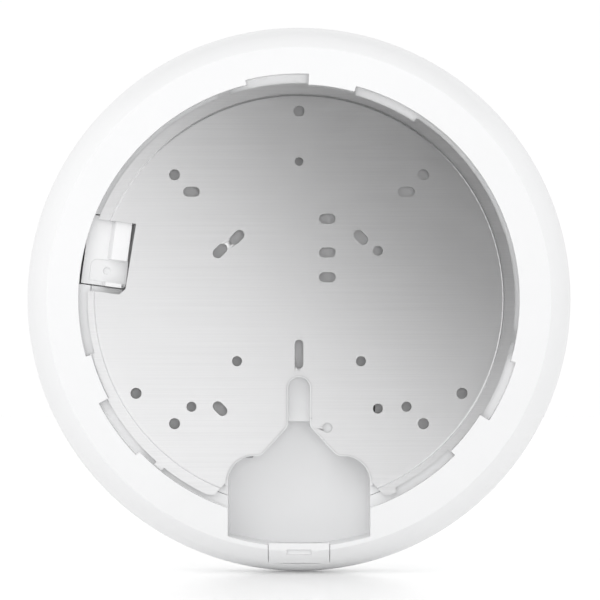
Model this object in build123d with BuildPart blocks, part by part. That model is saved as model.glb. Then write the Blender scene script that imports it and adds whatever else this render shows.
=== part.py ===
from build123d import *
import os
from math import acos, atan2, cos, degrees, radians, sin, sqrt

# Ceiling access point, locked on its ceiling plate.
# Millimetres. The disc's axis lies along Y: the ceiling is the plane y = 0 and the room is on
# the +Y side, so "depth" below means distance from the ceiling. Z points up across the face,
# away from the cable bay. The origin is the middle of the plate's ceiling face.
# Angles are clockwise from the top (+Z), seen from the ceiling side.

os.makedirs("parts", exist_ok=True)

# ---- overall sizes -------------------------------------------------------------------------
outer_radius = 110.0        # widest circle of the housing
front_depth = 48.0          # ceiling to the crown of the front cover
seam_depth = 22.0           # ceiling to the seam between rear casing and front cover

# ---- general fits --------------------------------------------------------------------------
part_gap = 0.4              # between pieces that move past each other
rest_gap = 0.15             # between pieces of one body that sit side by side
pin_clearance = 0.05        # radial, running fit on a pin
screw_clearance = 0.25      # radial, screw shank in its plain hole
bay_clearance = 0.5         # inner pieces stand off the bay's walls
over = 1.0                  # cuts run this far past the faces that they open
join = 0.2                  # features of one piece run this far into each other

# ---- mounting plate ------------------------------------------------------------------------
sheet = 1.2                 # stainless sheet
disc_radius = 81.4          # flat disc against the ceiling
bend_run = 0.7              # radius gained by the wall between disc and rim
rim_depth = 3.0             # ceiling to the upper face of the rim
rim_radius = 86.3
relief_radius = 84.5        # rim where the casing's tabs pass
lug_radius = 89.3
nub_radius = 88.5
lug_span = (3.0, 14.5)      # each bayonet lug, degrees
relief_span = (15.2, 33.0)
nub_span = (338.7, 341.3)
bend_fillet = 0.5

# ---- bayonet in the casing -----------------------------------------------------------------
lug_count = 3
twist_angle = 16.0          # from locked to free
ceiling_gap = 0.6           # casing's rear face to the ceiling
lip_thickness = 2.0
opening_radius = 88.0       # plain edge of the casing's rear opening
tab_radius = 85.7
tab_span = (2.5, 15.0)
notch_span = (346.25, 362.5)
stop_width = 1.6            # degrees
stop_play = 0.6             # degrees between a lug and its stop
lug_clearance = 0.7         # radial, lug in its channel

# ---- rear casing ---------------------------------------------------------------------------
wall = 2.4
rear_flat_radius = 100.6    # outer edge of the flat rear ring
channel_wall = 2.4
ledge_radius = 83.5         # inner edge of the ledge under the rim

# ---- cable bay -----------------------------------------------------------------------------
bay_half_width = 28.4
bay_top = -62.6             # upper edge of the wide part
bay_bottom_radius = 98.7
bay_corner = 10.5
stem_half_width = 4.33
stem_top = -31.1
neck_bottom = -50.7         # where the stem starts to flare
flare_half_width = 15.2     # flare where it meets the upper edge
flare_blend = 4.0
neck_blend = 3.0
bay_wall = 1.4
bay_floor = 20.0            # depth of the bay's floor
stem_floor = 9.0            # depth of the stem groove's floor
stem_end = -49.0
boss_span = (-56.0, -47.6)  # white boss behind the plate's lowest column hole
boss_thickness = 1.2
bay_lip_depth = 1.8
bay_skirt = 3.7             # slope that keeps the bay under the casing's band
bay_floor_wall = 1.6
land_half_width = 38.0      # white land beside the bay
land_top = -70.5

# ---- plate cut-out over the bay ------------------------------------------------------------
plate_bay_margin = 0.9      # plate edge stands back from the bay's wall
plate_foot = -78.1          # plate ends here beside the bay
foot_half_width = 42.0
foot_corner = (33.7, -78.1)
foot_slope_end = (28.4, -72.1)

# ---- plate holes ---------------------------------------------------------------------------
big_hole_radius = 2.2
small_hole_radius = 2.0
pilot_hole_radius = 1.7
slot_width = 4.0
slot_length = 6.6
large_square = 99.2         # four round holes
gang_square = 85.7          # slots above, round holes below
ceiling_ring_pcd = 150.0    # three round holes
octagon_square = 62.9       # square on the 88.9 mm diagonal
octagon_centre = -12.15
small_square = 49.4         # square on the 69.85 mm diagonal
pilot_height = 54.9
centre_slot = (0.0, -21.9, 3.5, 11.5)   # place, width and length
column_x = 11.3
column_foot = -51.2
column_pitches = (83.3, 69.85, 60.0)

# ---- release latch -------------------------------------------------------------------------
latch_angle = 277.5         # degrees
latch_inner = 69.4          # radial reach of the paddle
latch_inner_top = 69.9
latch_outer = 87.4
latch_top = -22.8           # along the tangent, positive towards the bay
latch_foot = 4.9
latch_plate = 2.0
latch_high = 1.7            # depth of the raised facet
latch_low = 4.9             # depth of the paddle's low face
facet_run = (76.4, 78.2)
facet_foot = -6.0
ridge_top = 3.2
pad_reach = 84.4
pad_span = (-5.5, 3.2)
pad_recess = 0.6
pad_corner = 2.5
pad_dimple = (77.7, -1.2)
pad_dimple_radius = 1.5
pad_dimple_depth = 0.9
latch_corner = 1.5
latch_axis_radius = 86.0
latch_axis_depth = 10.2
latch_pin_radius = 1.0
knuckle_radius = 2.2
knuckle_top_span = (-22.8, -13.0)
knuckle_foot_span = (-4.0, 4.9)
pin_chamfer = 0.2
ear_thickness = 2.7
ear_reach = 2.6
latch_cut_run = 7.9
ear_play = 0.4
tray_inner = 67.6           # white tray under the paddle, held between the ears
tray_depth = 9.2
tray_floor = 1.2
tray_foot_inner = 70.5
tray_foot_depth = 5.6
sink_window_inner = 67.2    # opening in the heat sink for the latch
sink_window_foot = 10.5
spring_wire = 0.6
spring_core = 0.42
spring_radius = 1.9
window_inner = (68.3, 69.1)
window_top = -21.3
window_foot = 7.5
window_chamfer = (71.4, 5.0)

# ---- cable-exit plug -----------------------------------------------------------------------
plug_half_width = 12.2
plug_top = -97.3
plug_foot = -105.8
plug_depth = 8.0
plug_side_gap = 0.15
plug_slot = (9.7, 2.0)
plug_slot_height = -100.9
plug_rib = (3.6, 3.0)       # along and across
plug_slot_cut = 1.4

# ---- heat sink -----------------------------------------------------------------------------
sink_depth = 6.0
sink_plate = 2.4
sink_flange_radius = 88.3
sink_flange = 1.4
ear_circle = 95.3
ear_radius = 4.0
ear_web = 2.2               # degrees
ear_angles = (40, 100, 145, 215, 250, 320)
fin_height = 4.5
fin_thickness = 1.6
fin_pitch = 6.0
fin_count = 9
fin_length = 64.0
fin_centre = 38.0

# ---- boards --------------------------------------------------------------------------------
board_depth = 17.6
board_thickness = 1.6
board_radius = 78.0
board_screw_circle = 73.0
board_screw_angles = (25, 70, 115, 145, 215, 245, 305, 340)
post_radius = 3.0
screw_radius = 1.5
screw_head_radius = 2.8
screw_head_height = 1.8
screw_head_rim = 0.5
screw_recess = (3.2, 0.6, 0.8)      # length, width and depth of each bar of the cross
screw_length = 6.0
base_screw_length = 5.0
short_screw_length = 4.0

# ---- ethernet jack -------------------------------------------------------------------------
jack_x = 21.8
jack_face = -58.2
jack_size = (16.0, 21.3, 11.8)      # across, along the plug's way, tall
jack_shell = 0.35
jack_opening = (11.9, 8.2)
jack_cavity = 14.0
jack_floor = 1.4
insert_play = 0.05
insert_setback = 0.4
contact_setback = 4.0
contact_count = 8
contact_pitch = 1.02
contact_wire = 0.35

# ---- reset button --------------------------------------------------------------------------
reset_x = -20.2
reset_radius = 1.8
reset_clearance = 0.08
reset_depth = 12.5
reset_travel = 0.8
reset_tip = -63.8
reset_flange = (2.8, -61.0, -60.0)  # radius, foot and top
reset_end = -58.6
reset_rim = 0.5
reset_switch_size = (6.0, 3.5, 6.0)

# ---- shields, pads and power parts ---------------------------------------------------------
shield_wall = 0.3
shield_height = 3.0
pad_thickness = 1.0
pad_inset = 3.0
pad_margin = 1.0
shields = {
    "processor_shield": (0.0, 12.0, 36.0, 30.0),
    "radio_shield_low": (-38.0, -8.0, 26.0, 32.0),
    "radio_shield_high": (38.0, -8.0, 26.0, 32.0),
}
lan_part = (15.0, 10.0, 5.5)        # across, along and tall
lan_part_gap = 2.2
lan_part_edge = 0.5
power_part = (14.0, 13.0, 8.0)
power_part_place = (-22.0, -38.0)
power_part_corner = 1.5
capacitor_places = ((-38.0, -36.0), (-46.0, -36.0), (-42.0, -44.0))
capacitor_radius = 3.4
capacitor_height = 7.5
capacitor_rim = 0.4

# ---- antennas and light ring ---------------------------------------------------------------
reflector_depth = 25.0
reflector_thickness = 0.8
reflector_radius = 84.0
reflector_hole_radius = 16.0
reflector_screw_circle = 66.0
reflector_screw_angles = (0, 90, 270)
reflector_lower_screws = ((-40.0, -52.0), (40.0, -52.0))
standoff_radius = 3.0
antenna_circle = 58.0
antenna_count = 4
antenna_sheet = 0.5
antenna_width = 9.0
antenna_rise = 8.0
antenna_span = 24.0
ring_outer = 33.0
ring_width = 3.0
cover_wall = 2.2
shoulder_radius = 14.0
shoulder_land = 0.5
ring_seat = 1.2
led_board_depth = 38.0
led_board_width = 12.0
led_count = 8
led_size = (2.0, 1.6, 1.0)
tongue_depth = 3.5
tongue_wall = 1.6
tongue_root = 2.0
ring_flange = 1.5
cap_skirt = 1.8

# ---- sizes worked out from the ones above --------------------------------------------------
rim_foot = rim_depth + sheet
rim_wall_radius = disc_radius + bend_run
lip_foot = ceiling_gap + lip_thickness
lip_ring_radius = disc_radius - sheet - part_gap
ledge_depth = rim_foot + part_gap
ledge_foot = ledge_depth + wall
channel_radius = lug_radius + lug_clearance
channel_outer = channel_radius + channel_wall
rear_foot = ceiling_gap + wall
band_drop = outer_radius - rear_flat_radius
band_rise = seam_depth - ceiling_gap
band_radius = (band_drop**2 + band_rise**2) / (2 * band_drop)
band_centre = outer_radius - band_radius
band_inner_radius = band_radius - wall
band_inner_start = band_centre + sqrt(band_inner_radius**2 - (seam_depth - rear_foot) ** 2)
shoulder_centre = (outer_radius - shoulder_radius, seam_depth + shoulder_land)
crown_height = front_depth - shoulder_centre[1]
crown_radius = (
    shoulder_centre[0] ** 2 + crown_height**2 - shoulder_radius**2
) / (2 * (crown_height - shoulder_radius))
crown_centre = front_depth - crown_radius
sink_foot = sink_depth + sink_plate
board_foot = board_depth + board_thickness
shield_top = board_depth - shield_height
pad_top = shield_top - pad_thickness
reflector_foot = reflector_depth + reflector_thickness
bay_outer_floor = bay_floor + bay_floor_wall
jack_top = board_depth - jack_size[2]
jack_centre_depth = board_depth - jack_size[2] / 2
jack_opening_top = board_depth - jack_floor - jack_opening[1]
led_board_inner = ring_outer - ring_width / 2 - led_board_width / 2
led_board_outer = led_board_inner + led_board_width
window_half = jack_opening[0] / 2 + bay_clearance
latch_room_top = latch_top - ear_play
latch_room_foot = latch_foot + ear_play
ear_inner = latch_axis_radius - ear_reach
ear_outer = latch_axis_radius + ear_reach
ear_foot = latch_axis_depth + ear_reach - join
ear_top_end = latch_room_top - ear_thickness
ear_foot_end = latch_room_foot + ear_thickness
latch_pin_span = (ear_top_end + 2 * join, ear_foot_end)
latch_cut_inner = ear_inner - latch_cut_run
tangent_angle = degrees(atan2(shoulder_centre[1] - crown_centre, shoulder_centre[0]))
cap_radius = ring_outer - ring_width
ring_hole = ring_outer + rest_gap


def face_plane(depth):
    """Sketch plane parallel to the ceiling, x right and y up, seen from the ceiling side."""
    return Plane.XZ.offset(-depth)


def latch_plane(depth):
    """Sketch plane at the latch: x runs outwards along the radius, y along the tangent."""
    turn = radians(latch_angle)
    return Plane(origin=(0, depth, 0), x_dir=(sin(turn), 0, cos(turn)), z_dir=(0, -1, 0))


def latch_section(place):
    """Sketch plane across the latch: x outwards along the radius, y into the room."""
    turn = radians(latch_angle)
    along = (-cos(turn), 0, sin(turn))
    origin = (place * along[0], 0, place * along[2])
    return Plane(origin=origin, x_dir=(sin(turn), 0, cos(turn)), z_dir=along)


def crown_angle(radius, sphere):
    """Angle on a crown's circle at which it reaches a radius."""
    return degrees(acos(radius / sphere))


def polar_point(angle, radius):
    """Place on the face at an angle clockwise from the top."""
    return (radius * sin(radians(angle)), radius * cos(radians(angle)))


def ring_sector(span, inner, outer):
    """Sketch of a ring's sector between two clockwise angles."""
    start = 90 - span[1]
    sweep = span[1] - span[0]
    with BuildSketch() as sector:
        with BuildLine():
            outside = CenterArc((0, 0), outer, start, sweep)
            inside = CenterArc((0, 0), inner, start, sweep)
            Line(outside @ 0, inside @ 0)
            Line(outside @ 1, inside @ 1)
        make_face()
    return sector.sketch


def thrice(span):
    """The same span at each of the bayonet's places."""
    step = 360 / lug_count
    return [(span[0] + step * turn, span[1] + step * turn) for turn in range(lug_count)]


def corner_near(vertices, x, y):
    """The vertex that lies nearest a place in the sketch."""
    return vertices.sort_by_distance((x, y, 0))[0]


def bay_outline():
    """Inner outline of the stem and the bay, open to the bottom of the face."""
    foot = -outer_radius - 20
    half = [
        (0, stem_top),
        (stem_half_width, stem_top),
        (stem_half_width, neck_bottom),
        (flare_half_width, bay_top),
        (bay_half_width, bay_top),
        (bay_half_width, foot),
        (0, foot),
    ]
    with BuildSketch() as outline:
        with BuildLine():
            Polyline(*half, close=True)
        make_face()
        fillet(corner_near(outline.vertices(), bay_half_width, bay_top), bay_corner)
        fillet(corner_near(outline.vertices(), flare_half_width, bay_top), flare_blend)
        fillet(corner_near(outline.vertices(), stem_half_width, neck_bottom), neck_blend)
        fillet(corner_near(outline.vertices(), stem_half_width, stem_top), stem_half_width - 0.01)
        mirror(about=Plane.YZ)
    return outline.sketch


def bay_area(margin, bottom_radius):
    """The bay's outline grown by a margin and closed by the bottom arc."""
    with BuildSketch() as area:
        add(bay_outline())
        if margin > 0:
            offset(amount=margin, kind=Kind.ARC)
        Circle(bottom_radius, mode=Mode.INTERSECT)
    return area.sketch


def below(height):
    """Everything on the face that is lower than a height."""
    size = 4 * outer_radius
    with BuildSketch() as area:
        with Locations((0, height - size / 2)):
            Rectangle(size, size)
    return area.sketch


def latch_room(inner, outer, top, foot):
    """Rectangle at the latch, from radius to radius and along the tangent."""
    with BuildSketch() as room:
        with Locations(((inner + outer) / 2, (top + foot) / 2)):
            Rectangle(outer - inner, foot - top)
    return room.sketch


def screw(head_depth, length=screw_length):
    """Pan-head screw on the Y axis, head towards the room, shank towards the ceiling."""
    with BuildPart() as body:
        with BuildSketch(face_plane(head_depth)):
            Circle(screw_head_radius)
        extrude(amount=-screw_head_height)
        fillet(body.faces().sort_by(Axis.Y)[-1].edges(), screw_head_rim)
        with BuildSketch(face_plane(head_depth)):
            Circle(screw_radius - pin_clearance)
        extrude(amount=length)
        with BuildSketch(face_plane(head_depth + screw_head_height)):
            Rectangle(screw_recess[0], screw_recess[1])
            Rectangle(screw_recess[1], screw_recess[0])
        extrude(amount=screw_recess[2], mode=Mode.SUBTRACT)
    return body.part


def save(piece, name):
    """Label a finished piece and write it."""
    piece.label = name
    export_step(piece, f"parts/{name}.step")


# ---- mounting plate: pressed hat of brushed stainless sheet ---------------------------------
with BuildPart() as mounting_plate:
    with BuildSketch(Plane.XY):
        with BuildLine():
            Polyline(
                (0, 0),
                (disc_radius, 0),
                (rim_wall_radius, rim_depth),
                (rim_radius, rim_depth),
                (rim_radius, rim_foot),
                (rim_wall_radius - sheet + 0.1, rim_foot),
                (disc_radius - sheet + 0.1, sheet),
                (0, sheet),
                close=True,
            )
        make_face()
    revolve(axis=Axis.Y)
    bends = mounting_plate.edges().filter_by(GeomType.CIRCLE)
    fillet(bends.group_by(Axis.Y)[0], bend_fillet)
    with BuildSketch(face_plane(rim_depth)):
        for span in thrice(lug_span):
            add(ring_sector(span, rim_radius - over, lug_radius))
        for span in thrice(nub_span):
            add(ring_sector(span, rim_radius - over, nub_radius))
    extrude(amount=-sheet)
    with BuildSketch(face_plane(rim_depth - bend_fillet)):
        for span in thrice(relief_span):
            add(ring_sector(span, relief_radius, lug_radius + over))
    extrude(amount=-(sheet + bend_fillet + over), mode=Mode.SUBTRACT)
    # cut-out over the bay, with the corners taken off where the white land shows
    with BuildSketch(face_plane(-over)) as bay_cut:
        add(bay_area(plate_bay_margin, outer_radius))
        with BuildLine():
            Polyline(
                (-foot_half_width, plate_foot),
                (-foot_corner[0], foot_corner[1]),
                (-foot_slope_end[0], foot_slope_end[1]),
                foot_slope_end,
                foot_corner,
                (foot_half_width, plate_foot),
                (foot_half_width, -outer_radius),
                (-foot_half_width, -outer_radius),
                close=True,
            )
        make_face()
    extrude(amount=-(rim_foot + 2 * over), mode=Mode.SUBTRACT)
    # window over the release latch
    with BuildSketch(latch_plane(-over)):
        with BuildLine():
            Polyline(
                (window_inner[0], window_top),
                (window_inner[1], window_chamfer[1]),
                (window_chamfer[0], window_foot),
                (outer_radius, window_foot),
                (outer_radius, window_top),
                close=True,
            )
        make_face()
    extrude(amount=-(rim_foot + 2 * over), mode=Mode.SUBTRACT)
    # round fixing holes
    with BuildSketch(face_plane(-over)):
        with GridLocations(large_square, large_square, 2, 2):
            Circle(big_hole_radius)
        with Locations(*[polar_point(angle, ceiling_ring_pcd / 2) for angle in (0, 120, 240)]):
            Circle(big_hole_radius)
        with Locations((-gang_square / 2, -gang_square / 2), (gang_square / 2, -gang_square / 2)):
            Circle(small_hole_radius)
        with Locations((octagon_square / 2, octagon_centre + octagon_square / 2)):
            Circle(small_hole_radius)
        with Locations((octagon_square / 2, octagon_centre - octagon_square / 2)):
            Circle(small_hole_radius)
        with Locations((-small_square / 2, -small_square / 2), (small_square / 2, -small_square / 2)):
            Circle(small_hole_radius)
        with Locations((column_x, column_foot)):
            Circle(small_hole_radius)
        with Locations((0, pilot_height)):
            Circle(pilot_hole_radius)
    extrude(amount=-(sheet + 2 * over), mode=Mode.SUBTRACT)
    # slotted fixing holes
    with BuildSketch(face_plane(-over)):
        with Locations((-gang_square / 2, gang_square / 2), (gang_square / 2, gang_square / 2)):
            SlotOverall(slot_length, slot_width)
        with Locations(*[(column_x, column_foot + pitch) for pitch in column_pitches]):
            SlotOverall(slot_length, slot_width)
        with Locations((-octagon_square / 2, octagon_centre + octagon_square / 2)):
            SlotOverall(slot_length, slot_width, rotation=45)
        with Locations((-octagon_square / 2, octagon_centre - octagon_square / 2)):
            SlotOverall(slot_length, slot_width, rotation=-45)
        with Locations((-small_square / 2, small_square / 2)):
            SlotOverall(slot_length, slot_width, rotation=45)
        with Locations((small_square / 2, small_square / 2)):
            SlotOverall(slot_length, slot_width, rotation=-45)
        with Locations((centre_slot[0], centre_slot[1])):
            SlotOverall(centre_slot[3], centre_slot[2], rotation=90)
    extrude(amount=-(sheet + 2 * over), mode=Mode.SUBTRACT)
save(mounting_plate.part, "mounting_plate")

# ---- rear casing: white moulded ring with the bayonet channel --------------------------------
with BuildPart() as rear_casing:
    with BuildSketch(Plane.XY):
        with BuildLine():
            rear_face = Line((opening_radius, ceiling_gap), (rear_flat_radius, ceiling_gap))
            band = RadiusArc(rear_face @ 1, (outer_radius, seam_depth), -band_radius)
            seam = Line(band @ 1, (outer_radius - wall, seam_depth))
            inside = RadiusArc(seam @ 1, (band_inner_start, rear_foot), band_inner_radius)
            Polyline(
                inside @ 1,
                (channel_outer, rear_foot),
                (channel_outer, ledge_foot),
                (ledge_radius, ledge_foot),
                (ledge_radius, ledge_depth),
                (channel_radius, ledge_depth),
                (channel_radius, lip_foot),
                (opening_radius, lip_foot),
                rear_face @ 0,
            )
        make_face()
    revolve(axis=Axis.Y)
    # tabs that hold the plate's lugs
    with BuildSketch(face_plane(ceiling_gap)):
        for span in thrice(tab_span):
            add(ring_sector(span, tab_radius, opening_radius + join))
    extrude(amount=-lip_thickness)
    # stops at both ends of each lug's way
    with BuildSketch(face_plane(lip_foot - join)):
        for span in thrice((lug_span[1] + stop_play, lug_span[1] + stop_play + stop_width)):
            add(ring_sector(span, opening_radius + join, channel_radius + join))
        free_end = lug_span[0] - twist_angle - stop_play
        for span in thrice((free_end - stop_width, free_end)):
            add(ring_sector(span, opening_radius + join, channel_radius + join))
    extrude(amount=-(ledge_depth - lip_foot + 2 * join))
    # notches that let the lugs in
    with BuildSketch(face_plane(ceiling_gap - over)):
        for span in thrice(notch_span):
            add(ring_sector(span, tab_radius, channel_radius))
    extrude(amount=-(lip_thickness + over), mode=Mode.SUBTRACT)
    # bosses for the heat sink's screws
    with BuildSketch(face_plane(rear_foot - join)):
        with Locations(*[polar_point(angle, ear_circle) for angle in ear_angles]):
            Circle(ear_radius - join)
    extrude(amount=-(ledge_foot - rear_foot + join))
    with BuildSketch(face_plane(ledge_foot)):
        with Locations(*[polar_point(angle, ear_circle) for angle in ear_angles]):
            Circle(screw_radius)
    extrude(amount=ledge_foot - rear_foot + join, mode=Mode.SUBTRACT)
    # opening of the cable bay
    with BuildSketch(face_plane(-over)):
        add(bay_area(0, bay_bottom_radius))
        add(below(bay_top), mode=Mode.INTERSECT)
    extrude(amount=-(ledge_foot + 2 * over), mode=Mode.SUBTRACT)
    # seat of the cable-exit plug
    with BuildSketch(face_plane(-over)):
        with Locations((0, (bay_top + plug_foot - plug_side_gap) / 2)):
            Rectangle(2 * (plug_half_width + plug_side_gap), bay_top - plug_foot + plug_side_gap)
    extrude(amount=-(plug_depth + plug_side_gap + over), mode=Mode.SUBTRACT)
    # ears of the latch pin: one block under the ledge, opened in the middle for the latch
    with BuildSketch(latch_plane(ledge_depth + 2 * join)):
        add(latch_room(ear_inner, ear_outer, ear_top_end, ear_foot_end))
    extrude(amount=-(ear_foot - ledge_depth - 2 * join))
    with BuildSketch(latch_plane(ledge_depth - join)):
        add(latch_room(latch_cut_inner, channel_radius + over, latch_room_top, latch_room_foot))
        Circle(channel_radius - pin_clearance, mode=Mode.INTERSECT)
    extrude(amount=-(ledge_foot - ledge_depth + join), mode=Mode.SUBTRACT)
    with BuildSketch(latch_plane(ledge_foot)):
        add(latch_room(latch_cut_inner, ear_outer + over, latch_room_top, latch_room_foot))
    extrude(amount=-(ear_foot + over - ledge_foot), mode=Mode.SUBTRACT)
    with BuildSketch(latch_section(latch_pin_span[0])):
        with Locations((latch_axis_radius, latch_axis_depth)):
            Circle(latch_pin_radius)
    extrude(amount=latch_pin_span[1] - latch_pin_span[0] + over, mode=Mode.SUBTRACT)
save(rear_casing.part, "rear_casing")

# ---- tray under the latch: white floor and end blocks between the ears ------------------------
with BuildPart() as latch_tray:
    with BuildSketch(latch_plane(tray_depth)):
        add(latch_room(tray_inner, ear_inner, ear_top_end, ear_foot_end))
    extrude(amount=-tray_floor)
    with BuildSketch(latch_plane(tray_foot_depth)):
        add(latch_room(tray_foot_inner, ear_inner, latch_room_foot, ear_foot_end))
        add(latch_room(tray_foot_inner, ear_inner, ear_top_end, latch_room_top))
        Circle(ledge_radius - rest_gap, mode=Mode.INTERSECT)
    extrude(amount=-(tray_depth - tray_foot_depth + join))
save(latch_tray.part, "latch_tray")

# ---- cable bay: tub with the stem groove, moulded with the white land beside it --------------
with BuildPart() as port_bay:
    with BuildSketch(face_plane(bay_lip_depth)):
        add(bay_area(bay_wall, bay_bottom_radius + bay_wall))
    extrude(amount=-(stem_floor + bay_wall - bay_lip_depth))
    with BuildSketch(face_plane(stem_floor)):
        add(bay_area(bay_wall, bay_bottom_radius + bay_wall))
        add(below(stem_end + bay_wall), mode=Mode.INTERSECT)
    extrude(amount=-(bay_outer_floor - stem_floor))
    with BuildSketch(face_plane(ledge_depth)):
        Circle(ledge_radius - rest_gap)
        with Locations((0, land_top - outer_radius / 2)):
            Rectangle(2 * land_half_width, outer_radius, mode=Mode.INTERSECT)
    extrude(amount=-wall)
    with BuildSketch(face_plane(sheet + part_gap)):
        boss_reach = jack_x - jack_size[0] / 2 - part_gap
        with Locations((boss_reach / 2, (boss_span[0] + boss_span[1]) / 2)):
            Rectangle(boss_reach, boss_span[1] - boss_span[0])
    extrude(amount=-(ledge_depth - sheet - part_gap + boss_thickness))
    with BuildSketch(face_plane(-over)):
        add(bay_area(0, bay_bottom_radius))
    extrude(amount=-(stem_floor + over), mode=Mode.SUBTRACT)
    with BuildSketch(face_plane(stem_floor - join)):
        add(bay_area(0, bay_bottom_radius))
        add(below(stem_end), mode=Mode.INTERSECT)
    extrude(amount=-(bay_floor - stem_floor + join), mode=Mode.SUBTRACT)
    # walls drop below the plate's rim, then below the casing's ledge and rear ring
    with BuildSketch(Plane.XY):
        with BuildLine():
            Polyline(
                (lip_ring_radius, -over),
                (lip_ring_radius, ledge_depth),
                (ledge_radius - rest_gap, ledge_depth),
                (ledge_radius - rest_gap, ledge_foot),
                (channel_outer + rest_gap, ledge_foot),
                (channel_outer + rest_gap, rear_foot),
                (bay_bottom_radius + join, rear_foot),
                (bay_bottom_radius + bay_skirt, rear_foot + bay_skirt),
                (outer_radius + over, rear_foot + bay_skirt),
                (outer_radius + over, -over),
                close=True,
            )
        make_face()
    revolve(axis=Axis.Y, mode=Mode.SUBTRACT)
    # way out for a cable when the plug is pulled
    with BuildSketch(face_plane(-over)):
        with Locations((0, plug_top + part_gap - plug_half_width)):
            Rectangle(2 * (plug_half_width + plug_side_gap), 2 * plug_half_width)
    extrude(amount=-(plug_depth + plug_side_gap + over), mode=Mode.SUBTRACT)
    # window in front of the jack
    with BuildSketch(face_plane(jack_opening_top - 2 * join)):
        with Locations((jack_x, bay_top - bay_corner / 2)):
            Rectangle(2 * window_half, bay_corner + 2 * (bay_wall + 2 * over))
    extrude(amount=-(jack_opening[1] + 4 * join), mode=Mode.SUBTRACT)
    # bore of the reset button
    with BuildSketch(Plane.XY.offset(bay_top - bay_corner / 2)):
        with Locations((reset_x, reset_depth)):
            Circle(reset_radius + reset_clearance)
    extrude(amount=bay_corner, mode=Mode.SUBTRACT)
save(port_bay.part, "port_bay")

# ---- release latch: sprung paddle under the plate's window ----------------------------------
with BuildPart() as release_latch:
    with BuildSketch(latch_plane(latch_low)) as paddle:
        with BuildLine():
            Polyline(
                (latch_inner_top, latch_top),
                (latch_inner, latch_foot),
                (latch_outer, latch_foot),
                (latch_outer, latch_top),
                close=True,
            )
        make_face()
        fillet(corner_near(paddle.vertices(), latch_inner, latch_foot), latch_corner)
        Circle(channel_radius - rest_gap, mode=Mode.INTERSECT)
    extrude(amount=-latch_plate)
    with BuildSketch(latch_section(latch_top)):
        with BuildLine():
            Polyline(
                (latch_inner_top, latch_high),
                (facet_run[0], latch_high),
                (facet_run[1], latch_low + join),
                (latch_inner_top, latch_low + join),
                close=True,
            )
        make_face()
    extrude(amount=facet_foot - latch_top)
    with BuildSketch(latch_section(ridge_top)):
        with BuildLine():
            Polyline(
                (latch_inner + latch_corner, latch_high),
                (facet_run[0] + over, latch_high),
                (facet_run[1] + over, latch_low + join),
                (latch_inner + latch_corner, latch_low + join),
                close=True,
            )
        make_face()
    extrude(amount=latch_foot - ridge_top)
    with BuildSketch(latch_plane(latch_low - join)) as pad:
        add(latch_room(latch_inner - over, pad_reach, pad_span[0], pad_span[1]))
        fillet(corner_near(pad.vertices(), pad_reach, pad_span[0]), pad_corner)
    extrude(amount=-(pad_recess + join), mode=Mode.SUBTRACT)
    neck_height = latch_axis_depth - latch_low - latch_plate + 2 * join
    for span in (knuckle_top_span, knuckle_foot_span):
        with BuildSketch(latch_section(span[0])):
            with Locations((latch_axis_radius, latch_axis_depth)):
                Circle(knuckle_radius)
            with Locations((latch_axis_radius - knuckle_radius / 2, latch_axis_depth - neck_height / 2)):
                Rectangle(knuckle_radius, neck_height)
        extrude(amount=span[1] - span[0])
    with BuildSketch(latch_section(latch_top - over)):
        with Locations((latch_axis_radius, latch_axis_depth)):
            Circle(latch_pin_radius + pin_clearance)
    extrude(amount=latch_foot - latch_top + 2 * over, mode=Mode.SUBTRACT)
    with BuildSketch(latch_plane(latch_low)):
        with Locations(pad_dimple):
            Circle(pad_dimple_radius)
    extrude(amount=-(pad_recess + pad_dimple_depth), mode=Mode.SUBTRACT)
save(release_latch.part, "release_latch")

with BuildPart() as latch_pin:
    with BuildSketch(latch_section(latch_pin_span[0])):
        with Locations((latch_axis_radius, latch_axis_depth)):
            Circle(latch_pin_radius)
    extrude(amount=latch_pin_span[1] - latch_pin_span[0])
    chamfer(latch_pin.edges().filter_by(GeomType.CIRCLE), pin_chamfer)
save(latch_pin.part, "latch_pin")

# torsion spring: close-wound coil round the pin, its leg up to the paddle
coil_start = knuckle_top_span[1] + spring_wire
coil_turns = round((knuckle_foot_span[0] - coil_start - spring_wire) / spring_wire)
coil_centre = latch_plane(latch_axis_depth).from_local_coords(Vector(latch_axis_radius, 0, 0))
with BuildPart() as latch_spring:
    with BuildSketch(latch_plane(latch_axis_depth)):
        with Locations((latch_axis_radius + spring_radius, coil_start + coil_turns * spring_wire / 2)):
            Rectangle(spring_core, (coil_turns - 1) * spring_wire)
            with GridLocations(1, spring_wire, 1, coil_turns):
                Circle(spring_wire / 2)
    revolve(axis=Axis(coil_centre, latch_section(0).z_dir))
    with BuildSketch(latch_plane(latch_axis_depth)):
        with Locations((latch_axis_radius + spring_radius, coil_start + spring_wire / 2)):
            Circle(spring_wire / 2)
    extrude(amount=latch_axis_depth - latch_low - latch_plate)
save(latch_spring.part, "latch_spring")

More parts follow.
